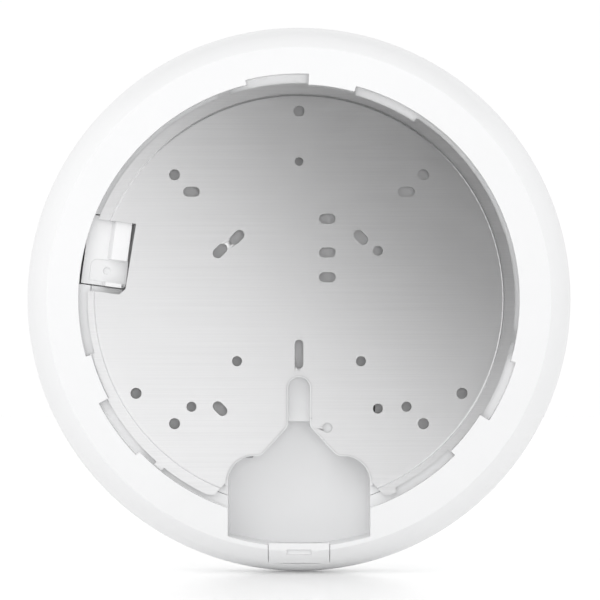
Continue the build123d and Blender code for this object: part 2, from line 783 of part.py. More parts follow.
# ---- cable-exit plug: closes the way out of the bay in the casing's edge ---------------------
with BuildPart() as cable_exit_plug:
    with BuildSketch(Plane.XY):
        with BuildLine():
            rear_face = Line((bay_half_width, ceiling_gap), (rear_flat_radius, ceiling_gap))
            band = RadiusArc(rear_face @ 1, (outer_radius, seam_depth), -band_radius)
            seam = Line(band @ 1, (outer_radius - wall, seam_depth))
            inside = RadiusArc(seam @ 1, (band_inner_start, rear_foot), band_inner_radius)
            Polyline(inside @ 1, (bay_half_width, rear_foot), rear_face @ 0)
        make_face()
    revolve(axis=Axis.Y)
    with BuildSketch(face_plane(0)):
        with Locations((0, (plug_top + plug_foot) / 2)):
            Rectangle(2 * plug_half_width, plug_top - plug_foot)
    extrude(amount=-plug_depth, mode=Mode.INTERSECT)
    with BuildSketch(face_plane(rear_foot - join)):
        with Locations(
            (-plug_half_width + plug_rib[1] / 2, plug_top - plug_rib[0] / 2 - join),
            (plug_half_width - plug_rib[1] / 2, plug_top - plug_rib[0] / 2 - join),
        ):
            Rectangle(plug_rib[1], plug_rib[0])
    extrude(amount=-(plug_depth - rear_foot + join))
    with BuildSketch(face_plane(0)):
        with Locations((0, plug_slot_height)):
            Rectangle(plug_slot[0], plug_slot[1])
    extrude(amount=-(ceiling_gap + plug_slot_cut), mode=Mode.SUBTRACT)
save(cable_exit_plug.part, "cable_exit_plug")

# ---- heat sink: cast aluminium floor under the plate -----------------------------------------
post_places = [polar_point(angle, board_screw_circle) for angle in board_screw_angles]
ear_places = [polar_point(angle, ear_circle) for angle in ear_angles]
with BuildPart() as heat_sink:
    with BuildSketch(face_plane(sink_depth)):
        Circle(ledge_radius - 2 * rest_gap)
    extrude(amount=-sink_plate)
    with BuildSketch(face_plane(ledge_foot)):
        Circle(sink_flange_radius)
        for angle in ear_angles:
            add(ring_sector((angle - ear_web, angle + ear_web), sink_flange_radius - over, ear_circle))
        with Locations(*ear_places):
            Circle(ear_radius)
    extrude(amount=-sink_flange)
    sink_foot_plane = face_plane(sink_foot - join)
    with BuildSketch(sink_foot_plane):
        with Locations((0, fin_centre)):
            with GridLocations(1, fin_pitch, 1, fin_count):
                Rectangle(fin_length, fin_thickness)
        for box in shields.values():
            with Locations((box[0], box[1])):
                Rectangle(box[2] + 2 * over, box[3] + 2 * over, mode=Mode.SUBTRACT)
    extrude(amount=-(fin_height + join))
    with BuildSketch(sink_foot_plane):
        for box in shields.values():
            with Locations((box[0], box[1])):
                Rectangle(box[2] - pad_inset, box[3] - pad_inset)
    extrude(amount=-(pad_top - sink_foot + join))
    with BuildSketch(sink_foot_plane):
        with Locations(*post_places):
            Circle(post_radius)
    extrude(amount=-(board_depth - sink_foot + join))
    with BuildSketch(face_plane(board_depth)):
        with Locations(*post_places):
            Circle(screw_radius)
    extrude(amount=screw_length, mode=Mode.SUBTRACT)
    with BuildSketch(face_plane(sink_depth - over)):
        with Locations(*ear_places):
            Circle(screw_radius + screw_clearance)
    extrude(amount=-(sink_plate + 3 * over), mode=Mode.SUBTRACT)
    with BuildSketch(face_plane(sink_depth - over)):
        add(bay_area(bay_wall + bay_clearance, outer_radius + over))
        with Locations((0, land_top + bay_clearance - outer_radius / 2)):
            Rectangle(2 * (land_half_width + bay_clearance), outer_radius)
        with Locations((jack_x, jack_face + jack_size[1] / 2 - over)):
            Rectangle(jack_size[0] + 2 * bay_clearance, jack_size[1] + 3 * over)
    extrude(amount=-(sink_plate + 2 * over), mode=Mode.SUBTRACT)
    with BuildSketch(latch_plane(sink_depth - over)):
        add(latch_room(sink_window_inner, outer_radius, ear_top_end - over, sink_window_foot))
        Circle(sink_flange_radius + over, mode=Mode.INTERSECT)
    extrude(amount=-(sink_plate + 2 * over), mode=Mode.SUBTRACT)
save(heat_sink.part, "heat_sink")

# ---- main board and what stands on it --------------------------------------------------------
reflector_places = [polar_point(angle, reflector_screw_circle) for angle in reflector_screw_angles]
reflector_places += list(reflector_lower_screws)
with BuildPart() as main_board:
    with BuildSketch(face_plane(board_depth)):
        Circle(board_radius)
        with BuildSketch(mode=Mode.SUBTRACT):
            add(bay_area(bay_wall + bay_clearance, outer_radius))
            add(below(stem_end + bay_wall + bay_clearance), mode=Mode.INTERSECT)
        with Locations(*post_places):
            Circle(screw_radius + screw_clearance, mode=Mode.SUBTRACT)
    extrude(amount=-board_thickness)
save(main_board.part, "main_board")

for name, (x, y, width, height) in shields.items():
    with BuildPart() as shield:
        with BuildSketch(face_plane(shield_top)):
            with Locations((x, y)):
                Rectangle(width, height)
        extrude(amount=-shield_height)
        with BuildSketch(face_plane(shield_top + shield_wall)):
            with Locations((x, y)):
                Rectangle(width - 2 * shield_wall, height - 2 * shield_wall)
        extrude(amount=-shield_height, mode=Mode.SUBTRACT)
    save(shield.part, name)
    with BuildPart() as thermal_pad:
        with BuildSketch(face_plane(pad_top)):
            with Locations((x, y)):
                Rectangle(width - pad_inset - pad_margin, height - pad_inset - pad_margin)
        extrude(amount=-pad_thickness)
    save(thermal_pad.part, name.replace("shield", "thermal_pad"))

# ---- ethernet jack: opens downwards into the bay ---------------------------------------------
jack_middle = jack_face + jack_size[1] / 2
with BuildPart() as jack_shell_part:
    with BuildSketch(face_plane(jack_top)):
        with Locations((jack_x, jack_middle)):
            Rectangle(jack_size[0], jack_size[1])
    extrude(amount=-jack_size[2])
    with BuildSketch(Plane.XY.offset(jack_face - over)):
        with Locations((jack_x, jack_centre_depth)):
            Rectangle(jack_size[0] - 2 * jack_shell, jack_size[2] - 2 * jack_shell)
    extrude(amount=jack_size[1] + over - jack_shell, mode=Mode.SUBTRACT)
save(jack_shell_part.part, "jack_shell")

with BuildPart() as jack_insert:
    insert_inset = 2 * (jack_shell + insert_play)
    with BuildSketch(Plane.XY.offset(jack_face + insert_setback)):
        with Locations((jack_x, jack_centre_depth)):
            Rectangle(jack_size[0] - insert_inset, jack_size[2] - insert_inset)
    extrude(amount=jack_size[1] - jack_shell - insert_play - insert_setback)
    with BuildSketch(Plane.XY.offset(jack_face)):
        with Locations((jack_x, jack_opening_top + jack_opening[1] / 2)):
            Rectangle(jack_opening[0], jack_opening[1])
    extrude(amount=jack_cavity, mode=Mode.SUBTRACT)
save(jack_insert.part, "jack_insert")

with BuildPart() as jack_contacts:
    with BuildSketch(Plane.XY.offset(jack_face + contact_setback)):
        with Locations((jack_x, jack_opening_top + contact_wire)):
            with GridLocations(contact_pitch, 1, contact_count, 1):
                Rectangle(contact_wire, contact_wire)
    extrude(amount=jack_cavity - contact_setback)
save(jack_contacts.part, "jack_contacts")

# ---- reset button and its switch -------------------------------------------------------------
with BuildPart() as reset_button:
    with BuildSketch(Plane.XY.offset(reset_tip)):
        with Locations((reset_x, reset_depth)):
            Circle(reset_radius)
    extrude(amount=reset_end - reset_tip)
    with BuildSketch(Plane.XY.offset(reset_flange[1])):
        with Locations((reset_x, reset_depth)):
            Circle(reset_flange[0])
    extrude(amount=reset_flange[2] - reset_flange[1])
    fillet(reset_button.faces().sort_by(Axis.Z)[0].edges(), reset_rim)
save(reset_button.part, "reset_button")

with BuildPart() as reset_switch:
    with BuildSketch(face_plane(board_depth - reset_switch_size[2])):
        with Locations((reset_x, reset_end + reset_travel + part_gap + reset_switch_size[1] / 2)):
            Rectangle(reset_switch_size[0], reset_switch_size[1])
    extrude(amount=-reset_switch_size[2])
save(reset_switch.part, "reset_switch")

# ---- power and network parts on the board ----------------------------------------------------
with BuildPart() as lan_transformer:
    with BuildSketch(face_plane(board_depth - lan_part[2])):
        with Locations((jack_x, jack_face + jack_size[1] + lan_part_gap + lan_part[1] / 2)):
            Rectangle(lan_part[0], lan_part[1])
    extrude(amount=-lan_part[2])
    chamfer(lan_transformer.faces().sort_by(Axis.Y)[0].edges(), lan_part_edge)
save(lan_transformer.part, "lan_transformer")

with BuildPart() as power_transformer:
    with BuildSketch(face_plane(board_depth - power_part[2])):
        with Locations(power_part_place):
            RectangleRounded(power_part[0], power_part[1], power_part_corner)
    extrude(amount=-power_part[2])
save(power_transformer.part, "power_transformer")

with BuildPart() as power_capacitors:
    with BuildSketch(face_plane(board_depth - capacitor_height)):
        with Locations(*capacitor_places):
            Circle(capacitor_radius)
    extrude(amount=-capacitor_height)
    fillet(power_capacitors.faces().group_by(Axis.Y)[0].edges(), capacitor_rim)
save(power_capacitors.part, "power_capacitors")

# ---- antenna plane ---------------------------------------------------------------------------
with BuildPart() as reflector_standoffs:
    with BuildSketch(face_plane(board_foot)):
        with Locations(*reflector_places):
            RegularPolygon(standoff_radius, 6)
            Circle(screw_radius, mode=Mode.SUBTRACT)
    extrude(amount=-(reflector_depth - board_foot))
save(reflector_standoffs.part, "reflector_standoffs")

led_posts = [polar_point(angle, led_board_inner + post_radius) for angle in (0, 120, 240)]
with BuildPart() as antenna_reflector:
    with BuildSketch(face_plane(reflector_depth)):
        Circle(reflector_radius)
        Circle(reflector_hole_radius, mode=Mode.SUBTRACT)
        with Locations(*reflector_places):
            Circle(screw_radius + screw_clearance, mode=Mode.SUBTRACT)
    extrude(amount=-reflector_thickness)
save(antenna_reflector.part, "antenna_reflector")

for number in range(antenna_count):
    turn = radians(45 + number * 360 / antenna_count)
    foot = Plane(
        origin=(antenna_circle * sin(turn), reflector_foot, antenna_circle * cos(turn)),
        x_dir=(cos(turn), 0, -sin(turn)),
        z_dir=(0, 1, 0),
    )
    with BuildPart() as antenna:
        with BuildSketch(foot):
            Rectangle(antenna_width, antenna_width)
        extrude(amount=antenna_sheet)
        with BuildSketch(foot):
            with Locations((0, (antenna_width - antenna_sheet) / 2)):
                Rectangle(antenna_width, antenna_sheet)
        extrude(amount=antenna_rise)
        with BuildSketch(foot.offset(antenna_rise - antenna_sheet)):
            Rectangle(antenna_span, antenna_width)
            Rectangle(antenna_span / 3, antenna_width / 3, mode=Mode.SUBTRACT)
        extrude(amount=antenna_sheet)
    save(antenna.part, f"antenna_{number + 1}")

# ---- light ring ------------------------------------------------------------------------------
with BuildPart() as led_standoffs:
    with BuildSketch(face_plane(reflector_foot)):
        with Locations(*led_posts):
            Circle(post_radius)
            Circle(screw_radius, mode=Mode.SUBTRACT)
    extrude(amount=-(led_board_depth - reflector_foot))
save(led_standoffs.part, "led_standoffs")

with BuildPart() as led_board:
    with BuildSketch(face_plane(led_board_depth)):
        Circle(led_board_outer)
        Circle(led_board_inner, mode=Mode.SUBTRACT)
        with Locations(*led_posts):
            Circle(screw_radius + screw_clearance, mode=Mode.SUBTRACT)
    extrude(amount=-sheet)
save(led_board.part, "led_board")

led_face = led_board_depth + sheet
with BuildPart() as status_leds:
    with BuildSketch(Plane.XZ.offset(-led_face)):
        with PolarLocations(ring_outer - ring_width / 2, led_count, start_angle=22.5):
            Rectangle(led_size[0], led_size[1])
    extrude(amount=-led_size[2])
save(status_leds.part, "status_leds")

seat_radius = ring_outer + ring_flange + bay_clearance
seat_depth = crown_centre + sqrt((crown_radius - cover_wall) ** 2 - seat_radius**2) - rest_gap
with BuildPart() as light_ring:
    with BuildSketch(Plane.XY):
        with BuildLine():
            face_start = crown_angle(ring_outer, crown_radius)
            face_sweep = crown_angle(cap_radius, crown_radius) - face_start
            face = CenterArc((0, crown_centre), crown_radius, face_start, face_sweep)
            Polyline(
                face @ 1,
                (cap_radius, seat_depth),
                (cap_radius - ring_flange, seat_depth),
                (cap_radius - ring_flange, seat_depth - ring_seat),
                (ring_outer + ring_flange, seat_depth - ring_seat),
                (ring_outer + ring_flange, seat_depth),
                (ring_outer, seat_depth),
                face @ 0,
            )
        make_face()
    revolve(axis=Axis.Y)
save(light_ring.part, "light_ring")

with BuildPart() as centre_cap:
    cap_edge = cap_radius - rest_gap
    with BuildSketch(Plane.XY):
        with BuildLine():
            face_start = crown_angle(cap_edge, crown_radius)
            face = CenterArc((0, crown_centre), crown_radius, face_start, 90 - face_start)
            Polyline(
                face @ 1,
                (0, front_depth - cover_wall),
                (cap_edge - cap_skirt, front_depth - cover_wall),
                (cap_edge - cap_skirt, seat_depth),
                (cap_edge, seat_depth),
                face @ 0,
            )
        make_face()
    revolve(axis=Axis.Y)
save(centre_cap.part, "centre_cap")

# ---- front cover: shallow white dome, snapped into the casing by its tongue -------------------
tongue_outer = band_centre + sqrt(band_inner_radius**2 - tongue_depth**2) - rest_gap
with BuildPart() as front_cover:
    inner_crown_radius = crown_radius - cover_wall
    with BuildSketch(Plane.XY):
        with BuildLine():
            outer_shoulder = CenterArc(shoulder_centre, shoulder_radius, 0, tangent_angle)
            outer_sweep = crown_angle(ring_hole, crown_radius) - tangent_angle
            outer_crown = CenterArc((0, crown_centre), crown_radius, tangent_angle, outer_sweep)
            inner_shoulder = CenterArc(shoulder_centre, shoulder_radius - cover_wall, 0, tangent_angle)
            inner_sweep = crown_angle(ring_hole, inner_crown_radius) - tangent_angle
            inner_crown = CenterArc((0, crown_centre), inner_crown_radius, tangent_angle, inner_sweep)
            Line(outer_crown @ 1, inner_crown @ 1)
            Polyline(
                outer_shoulder @ 0,
                (outer_radius, seam_depth),
                (outer_radius - cover_wall, seam_depth),
                inner_shoulder @ 0,
            )
        make_face()
    revolve(axis=Axis.Y)
    with BuildSketch(Plane.XY):
        with BuildLine():
            Polyline(
                (tongue_outer - tongue_wall, seam_depth - tongue_depth),
                (tongue_outer, seam_depth - tongue_depth),
                (tongue_outer, seam_depth),
                (outer_radius - cover_wall + join, seam_depth),
                (outer_radius - cover_wall + join, seam_depth + tongue_root),
                (tongue_outer - tongue_wall, seam_depth + tongue_root),
                close=True,
            )
        make_face()
    revolve(axis=Axis.Y)
save(front_cover.part, "front_cover")

# ---- screws ----------------------------------------------------------------------------------
base_screw = screw(ledge_foot + sink_flange, base_screw_length)
board_screw = screw(board_foot)
reflector_screw = screw(reflector_foot, short_screw_length)
led_screw = screw(led_face, short_screw_length)
screw_sets = {
    "base_screws": (base_screw, ear_places),
    "board_screws": (board_screw, post_places),
    "reflector_screws": (reflector_screw, reflector_places),
    "led_board_screws": (led_screw, led_posts),
}
for name, (one, places) in screw_sets.items():
    with BuildPart() as screws:
        with Locations(*[(x, 0, z) for x, z in places]):
            add(one)
    save(screws.part, name)
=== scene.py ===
import logging
import math
from dataclasses import dataclass, field
from enum import Enum
from typing import Protocol

import bmesh
import bpy
from mathutils import Matrix, Vector


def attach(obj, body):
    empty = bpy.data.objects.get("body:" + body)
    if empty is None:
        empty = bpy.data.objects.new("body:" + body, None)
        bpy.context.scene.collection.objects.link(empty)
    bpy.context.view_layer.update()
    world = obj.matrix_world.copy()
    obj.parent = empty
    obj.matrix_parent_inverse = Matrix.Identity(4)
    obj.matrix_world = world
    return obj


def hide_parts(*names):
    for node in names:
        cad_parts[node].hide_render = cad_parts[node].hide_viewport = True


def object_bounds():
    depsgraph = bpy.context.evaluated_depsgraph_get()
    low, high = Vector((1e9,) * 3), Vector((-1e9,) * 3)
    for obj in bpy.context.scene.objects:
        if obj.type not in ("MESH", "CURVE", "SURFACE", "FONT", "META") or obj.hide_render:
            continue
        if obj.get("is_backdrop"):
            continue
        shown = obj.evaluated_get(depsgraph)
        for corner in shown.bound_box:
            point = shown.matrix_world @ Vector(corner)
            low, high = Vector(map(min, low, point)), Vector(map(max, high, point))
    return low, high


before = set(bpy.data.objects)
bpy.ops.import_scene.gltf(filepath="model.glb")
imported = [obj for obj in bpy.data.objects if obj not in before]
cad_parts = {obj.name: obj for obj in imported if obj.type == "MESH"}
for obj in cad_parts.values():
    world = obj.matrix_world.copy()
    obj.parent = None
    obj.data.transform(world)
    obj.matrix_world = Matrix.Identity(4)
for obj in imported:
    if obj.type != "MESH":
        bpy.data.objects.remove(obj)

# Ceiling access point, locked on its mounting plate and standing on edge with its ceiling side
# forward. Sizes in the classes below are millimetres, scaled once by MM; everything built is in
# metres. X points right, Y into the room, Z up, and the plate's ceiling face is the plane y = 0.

MM = 0.001
MERGE = 1e-6
EASE_PROFILE = 0.5
EASE_SEGMENTS = 2

Colour = tuple[float, float, float]
Triple = tuple[float, float, float]
Point = tuple[float, float]

log = logging.getLogger("access_point")


class Body(Enum):
    """Bodies of the model that a piece can ride on."""

    PLATE = "plate"
    ACCESS_POINT = "access_point"
    LATCH = "latch"
    PLUG = "plug"


class Slot(Enum):
    """Material slots of the record, held on each piece's card but never read."""

    STAINLESS_PLATE = "stainless_plate"
    WHITE_MOULDING = "white_moulding"
    WHITE_COVER = "white_cover"
    RING_DIFFUSER = "ring_diffuser"
    CAST_ALUMINIUM = "cast_aluminium"
    TINNED_STEEL = "tinned_steel"
    SPRING_STEEL = "spring_steel"
    BLACK_PLASTIC = "black_plastic"


class Grain(Enum):
    """Direction in which a metal sheet is brushed, as scales of a stretched noise."""

    ACROSS = (14.0, 260.0, 2600.0)
    UPRIGHT = (2600.0, 260.0, 14.0)


class Shading(Enum):
    """How faces meet in the shading, as the angle past which an edge stays crisp."""

    MOULDED = math.radians(32.0)
    TURNED = math.radians(40.0)


# ---- finishes -------------------------------------------------------------------------------


class ShaderBench:
    """A bench on which one material's nodes are laid out and joined."""

    def __init__(self, name: str) -> None:
        """Starts a material with its principled shader.

        Args:
            name: Name of the material.
        """
        self.material: bpy.types.Material = bpy.data.materials.new(name)
        self.material.use_nodes = True
        self.nodes: bpy.types.Nodes = self.material.node_tree.nodes
        self.shader: bpy.types.Node = self.nodes["Principled BSDF"]
        self.place: bpy.types.NodeSocket = self.nodes.new("ShaderNodeTexCoord").outputs["Object"]

    def join(self, source: bpy.types.NodeSocket, target: bpy.types.NodeSocket) -> None:
        """Joins two sockets."""
        self.material.node_tree.links.new(source, target)

    def put(self, socket: str, value: float | tuple[float, ...]) -> None:
        """Sets a number or a colour on one of the shader's own sockets."""
        self.shader.inputs[socket].default_value = value

    def stretched(self, scale: Triple) -> bpy.types.NodeSocket:
        """Object coordinates stretched along the axes.

        Args:
            scale: Factor along each axis.

        Returns:
            The stretched coordinates.
        """
        mapping = self.nodes.new("ShaderNodeMapping")
        mapping.inputs["Scale"].default_value = scale
        self.join(self.place, mapping.inputs["Vector"])
        return mapping.outputs["Vector"]

    def noise(
        self, scale: float, detail: float = 2.0, stretch: Triple | None = None
    ) -> bpy.types.NodeSocket:
        """Noise between 0 and 1.

        Args:
            scale: Cells per metre.
            detail: Octaves of finer noise.
            stretch: Scale along each axis before the noise, or None for none.

        Returns:
            The noise's value.
        """
        noise = self.nodes.new("ShaderNodeTexNoise")
        noise.inputs["Scale"].default_value = scale
        noise.inputs["Detail"].default_value = detail
        self.join(self.stretched(stretch) if stretch else self.place, noise.inputs["Vector"])
        return noise.outputs["Fac"]

    def span(
        self,
        value: bpy.types.NodeSocket,
        low: float,
        high: float,
        start: float = 0.3,
        end: float = 0.7,
    ) -> bpy.types.NodeSocket:
        """Maps a value to a range.

        Args:
            value: The value.
            low: Result at start.
            high: Result at end.
            start: Value that gives low.
            end: Value that gives high.

        Returns:
            The mapped value.
        """
        ranged = self.nodes.new("ShaderNodeMapRange")
        ranged.inputs["From Min"].default_value = start
        ranged.inputs["From Max"].default_value = end
        ranged.inputs["To Min"].default_value = low
        ranged.inputs["To Max"].default_value = high
        self.join(value, ranged.inputs["Value"])
        return ranged.outputs["Result"]

    def tint(self, value: bpy.types.NodeSocket, low: Colour, high: Colour) -> None:
        """Colours the surface between two tones.

        Args:
            value: Where between them, 0 to 1.
            low: Colour at 0.
            high: Colour at 1.
        """
        mix = self.nodes.new("ShaderNodeMix")
        mix.data_type = "RGBA"
        colours = [socket for socket in mix.inputs if socket.type == "RGBA"]
        colours[0].default_value = (*low, 1.0)
        colours[1].default_value = (*high, 1.0)
        self.join(value, mix.inputs[0])
        result = next(socket for socket in mix.outputs if socket.type == "RGBA")
        self.join(result, self.shader.inputs["Base Color"])

    def rough(self, value: bpy.types.NodeSocket) -> None:
        """Sets the roughness from a value."""
        self.join(value, self.shader.inputs["Roughness"])

    def bump(
        self,
        height: bpy.types.NodeSocket,
        distance: float,
        under: bpy.types.NodeSocket | None = None,
    ) -> bpy.types.NodeSocket:
        """Raises the surface a little by a height.

        Args:
            height: Height between 0 and 1.
            distance: Height in metres at 1.
            under: A normal that the bump lies on, or None.

        Returns:
            The bumped normal, already joined to the shader.
        """
        bump = self.nodes.new("ShaderNodeBump")
        bump.inputs["Distance"].default_value = distance
        self.join(height, bump.inputs["Height"])
        if under is not None:
            self.join(under, bump.inputs["Normal"])
        self.join(bump.outputs["Normal"], self.shader.inputs["Normal"])
        return bump.outputs["Normal"]


def shaded(tone: Colour, factor: float) -> Colour:
    """A colour made lighter or darker.

    Args:
        tone: The colour.
        factor: What each channel is multiplied by.

    Returns:
        The new colour.
    """
    return tuple(min(1.0, channel * factor) for channel in tone)


class Finish(Protocol):
    """What every finish offers."""

    def make(self) -> bpy.types.Material:
        """Makes the material."""


@dataclass(frozen=True)
class MouldedPlastic:
    """Satin moulded plastic with a fine spark-eroded grain and faint flow shade."""

    name: str
    tone: Colour
    roughness: float = 0.38
    grain_scale: float = 2400.0
    grain_height: float = 6e-6
    flow_scale: float = 28.0
    ior: float = 1.47

    def make(self) -> bpy.types.Material:
        """Makes the material."""
        bench = ShaderBench(self.name)
        bench.tint(bench.noise(self.flow_scale), shaded(self.tone, 0.985), shaded(self.tone, 1.01))
        grain = bench.noise(self.grain_scale)
        bench.rough(bench.span(grain, self.roughness * 0.9, self.roughness * 1.12))
        bench.bump(grain, self.grain_height)
        bench.put("IOR", self.ior)
        return bench.material


@dataclass(frozen=True)
class BrushedSteel:
    """Stainless sheet brushed one way, with long fine scratches and a soft sheen."""

    name: str
    tone: Colour = (0.86, 0.86, 0.865)
    roughness: float = 0.33
    grain: Grain = Grain.ACROSS
    scratch_height: float = 4e-6
    fine_scale: float = 3.2

    def make(self) -> bpy.types.Material:
        """Makes the material."""
        bench = ShaderBench(self.name)
        coarse = bench.noise(1.0, 3.0, self.grain.value)
        fine = bench.noise(self.fine_scale, 2.0, self.grain.value)
        bench.tint(coarse, shaded(self.tone, 0.93), shaded(self.tone, 1.06))
        bench.rough(bench.span(fine, self.roughness * 0.86, self.roughness * 1.16))
        under = bench.bump(coarse, self.scratch_height)
        bench.bump(fine, self.scratch_height, under)
        bench.put("Metallic", 1.0)
        return bench.material


@dataclass(frozen=True)
class CastMetal:
    """Die-cast light metal, blasted matt, with an orange-peel skin."""

    name: str
    tone: Colour = (0.9, 0.9, 0.905)
    metallic: float = 0.12
    roughness: float = 0.6
    cloud_scale: float = 70.0
    skin_scale: float = 900.0
    skin_height: float = 2.5e-5

    def make(self) -> bpy.types.Material:
        """Makes the material."""
        bench = ShaderBench(self.name)
        clouds = bench.noise(self.cloud_scale, 4.0)
        bench.tint(clouds, shaded(self.tone, 0.86), shaded(self.tone, 1.1))
        skin = bench.noise(self.skin_scale, 3.0)
        bench.rough(bench.span(skin, self.roughness * 0.85, self.roughness * 1.2))
        bench.bump(skin, self.skin_height)
        bench.put("Metallic", self.metallic)
        return bench.material


@dataclass(frozen=True)
class PlatedMetal:
    """Smooth plated or drawn metal with faint clouding."""

    name: str
    tone: Colour
    roughness: float = 0.28
    cloud_scale: float = 240.0
    fine_ratio: float = 6.0
    fine_height: float = 4e-6

    def make(self) -> bpy.types.Material:
        """Makes the material."""
        bench = ShaderBench(self.name)
        clouds = bench.noise(self.cloud_scale, 3.0)
        bench.tint(clouds, shaded(self.tone, 0.9), shaded(self.tone, 1.06))
        bench.rough(bench.span(clouds, self.roughness * 0.8, self.roughness * 1.25))
        bench.bump(bench.noise(self.cloud_scale * self.fine_ratio), self.fine_height)
        bench.put("Metallic", 1.0)
        return bench.material


@dataclass(frozen=True)
class BoardLaminate:
    """Printed board under solder mask, with raised tracks and darker clearances."""

    name: str
    mask: Colour = (0.012, 0.055, 0.03)
    track: Colour = (0.03, 0.12, 0.06)
    cell: float = 420.0
    scatter: float = 0.72
    track_edge: Point = (0.28, 0.36)
    gloss_scale: float = 600.0
    track_height: float = 3.5e-5

    def make(self) -> bpy.types.Material:
        """Makes the material."""
        bench = ShaderBench(self.name)
        cells = bench.nodes.new("ShaderNodeTexVoronoi")
        cells.distance = "CHEBYCHEV"
        cells.feature = "F1"
        cells.inputs["Scale"].default_value = self.cell
        cells.inputs["Randomness"].default_value = self.scatter
        bench.join(bench.place, cells.inputs["Vector"])
        edge = bench.span(cells.outputs["Distance"], 0.0, 1.0, *self.track_edge)
        bench.tint(edge, self.track, self.mask)
        bench.rough(bench.span(bench.noise(self.gloss_scale), 0.3, 0.42))
        bench.bump(edge, -self.track_height)
        return bench.material


@dataclass(frozen=True)
class SoftDiffuser:
    """Milky light guide, frosted on its face."""

    name: str
    tone: Colour = (0.84, 0.86, 0.88)
    roughness: float = 0.5
    cloud_scale: float = 90.0
    frost_scale: float = 1500.0
    frost_height: float = 5e-6
    milkiness: float = 0.4
    glow_depth: float = 1.5

    def make(self) -> bpy.types.Material:
        """Makes the material."""
        bench = ShaderBench(self.name)
        frost = bench.noise(self.frost_scale)
        clouds = bench.noise(self.cloud_scale)
        bench.tint(clouds, shaded(self.tone, 0.96), shaded(self.tone, 1.02))
        bench.rough(bench.span(frost, self.roughness * 0.9, self.roughness * 1.1))
        bench.bump(frost, self.frost_height)
        bench.put("Subsurface Weight", self.milkiness)
        bench.put("Subsurface Scale", self.glow_depth * MM)
        return bench.material


@dataclass(frozen=True)
class SoftPad:
    """Matt elastomer pad with open grain."""

    name: str
    tone: Colour = (0.28, 0.33, 0.42)
    grain_scale: float = 1100.0
    grain_height: float = 4e-5
    roughness: float = 0.85

    def make(self) -> bpy.types.Material:
        """Makes the material."""
        bench = ShaderBench(self.name)
        grain = bench.noise(self.grain_scale, 4.0)
        bench.tint(grain, shaded(self.tone, 0.85), shaded(self.tone, 1.12))
        bench.bump(grain, self.grain_height)
        bench.put("Roughness", self.roughness)
        return bench.material


@dataclass(frozen=True)
class PaleFloor:
    """Pale polished studio floor."""

    name: str
    tone: Colour = (0.96, 0.96, 0.96)
    glow: float = 0.07
    cloud_scale: float = 3.0
    polish_scale: float = 6.0
    polish: Point = (0.2, 0.24)
    ior: float = 1.4

    def make(self) -> bpy.types.Material:
        """Makes the material."""
        bench = ShaderBench(self.name)
        bench.tint(bench.noise(self.cloud_scale), shaded(self.tone, 0.995), self.tone)
        bench.rough(bench.span(bench.noise(self.polish_scale), *self.polish))
        bench.put("IOR", self.ior)
        bench.put("Emission Color", (1.0, 1.0, 1.0, 1.0))
        bench.put("Emission Strength", self.glow)
        return bench.material


class FinishBook:
    """Makes each finish once and hands it out again."""

    def __init__(self) -> None:
        """Starts an empty book."""
        self.made: dict[Finish, bpy.types.Material] = {}

    def of(self, finish: Finish) -> bpy.types.Material:
        """The material of a finish.

        Args:
            finish: The finish.

        Returns:
            Its material, made at the first call.
        """
        if finish not in self.made:
            self.made[finish] = finish.make()
        return self.made[finish]


BOOK = FinishBook()
WHITE_PLASTIC = MouldedPlastic("moulding_white", (0.815, 0.817, 0.822))
COVER_PLASTIC = MouldedPlastic("cover_white", (0.82, 0.823, 0.828), roughness=0.34)
BLACK_PLASTIC = MouldedPlastic("moulding_black", (0.02, 0.02, 0.022), roughness=0.45)
GREY_PLASTIC = MouldedPlastic("moulding_grey", (0.33, 0.33, 0.34), roughness=0.42)
PLATE_STEEL = BrushedSteel("stainless_brushed")
SINK_METAL = CastMetal("aluminium_cast")
REFLECTOR_METAL = BrushedSteel("aluminium_rolled", (0.72, 0.725, 0.73), 0.3, Grain.UPRIGHT)
TINNED = PlatedMetal("tin_plate", (0.62, 0.62, 0.61), 0.24)
SPRING_WIRE = PlatedMetal("spring_wire", (0.4, 0.39, 0.37), 0.3)
PIN_STEEL = PlatedMetal("pin_steel", (0.56, 0.56, 0.57), 0.22)
ZINC = PlatedMetal("zinc_plate", (0.6, 0.6, 0.58), 0.34)
BRASS = PlatedMetal("brass_turned", (0.68, 0.5, 0.22), 0.3)
GOLD = PlatedMetal("gold_flash", (0.83, 0.62, 0.24), 0.22)
CAN_METAL = PlatedMetal("capacitor_can", (0.6, 0.61, 0.63), 0.26)
BOARD = BoardLaminate("board_green")
DIFFUSER = SoftDiffuser("ring_milky")
PAD = SoftPad("thermal_pad_grey")
LENS = SoftDiffuser("lens_amber", (0.86, 0.78, 0.42), 0.3)
FLOOR = PaleFloor("floor_pale")


# ---- tools for pieces -------------------------------------------------------------------------


def dress_node(node: str, finish: Finish) -> None:
    """Gives a machined node its finish.

    Args:
        node: Name of the node.
        finish: Finish for all of its faces.
    """
    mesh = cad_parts[node].data
    mesh.materials.clear()
    mesh.materials.append(BOOK.of(finish))
    log.info("dressed node %s in %s", node, finish.name)


def set_shading(mesh: bmesh.types.BMesh, shading: Shading) -> None:
    """Makes faces smooth and keeps edges crisp past the shading's angle.

    Args:
        mesh: The mesh.
        shading: How faces meet.
    """
    for face in mesh.faces:
        face.smooth = True
    for edge in mesh.edges:
        edge.smooth = edge.calc_face_angle(math.pi) < shading.value


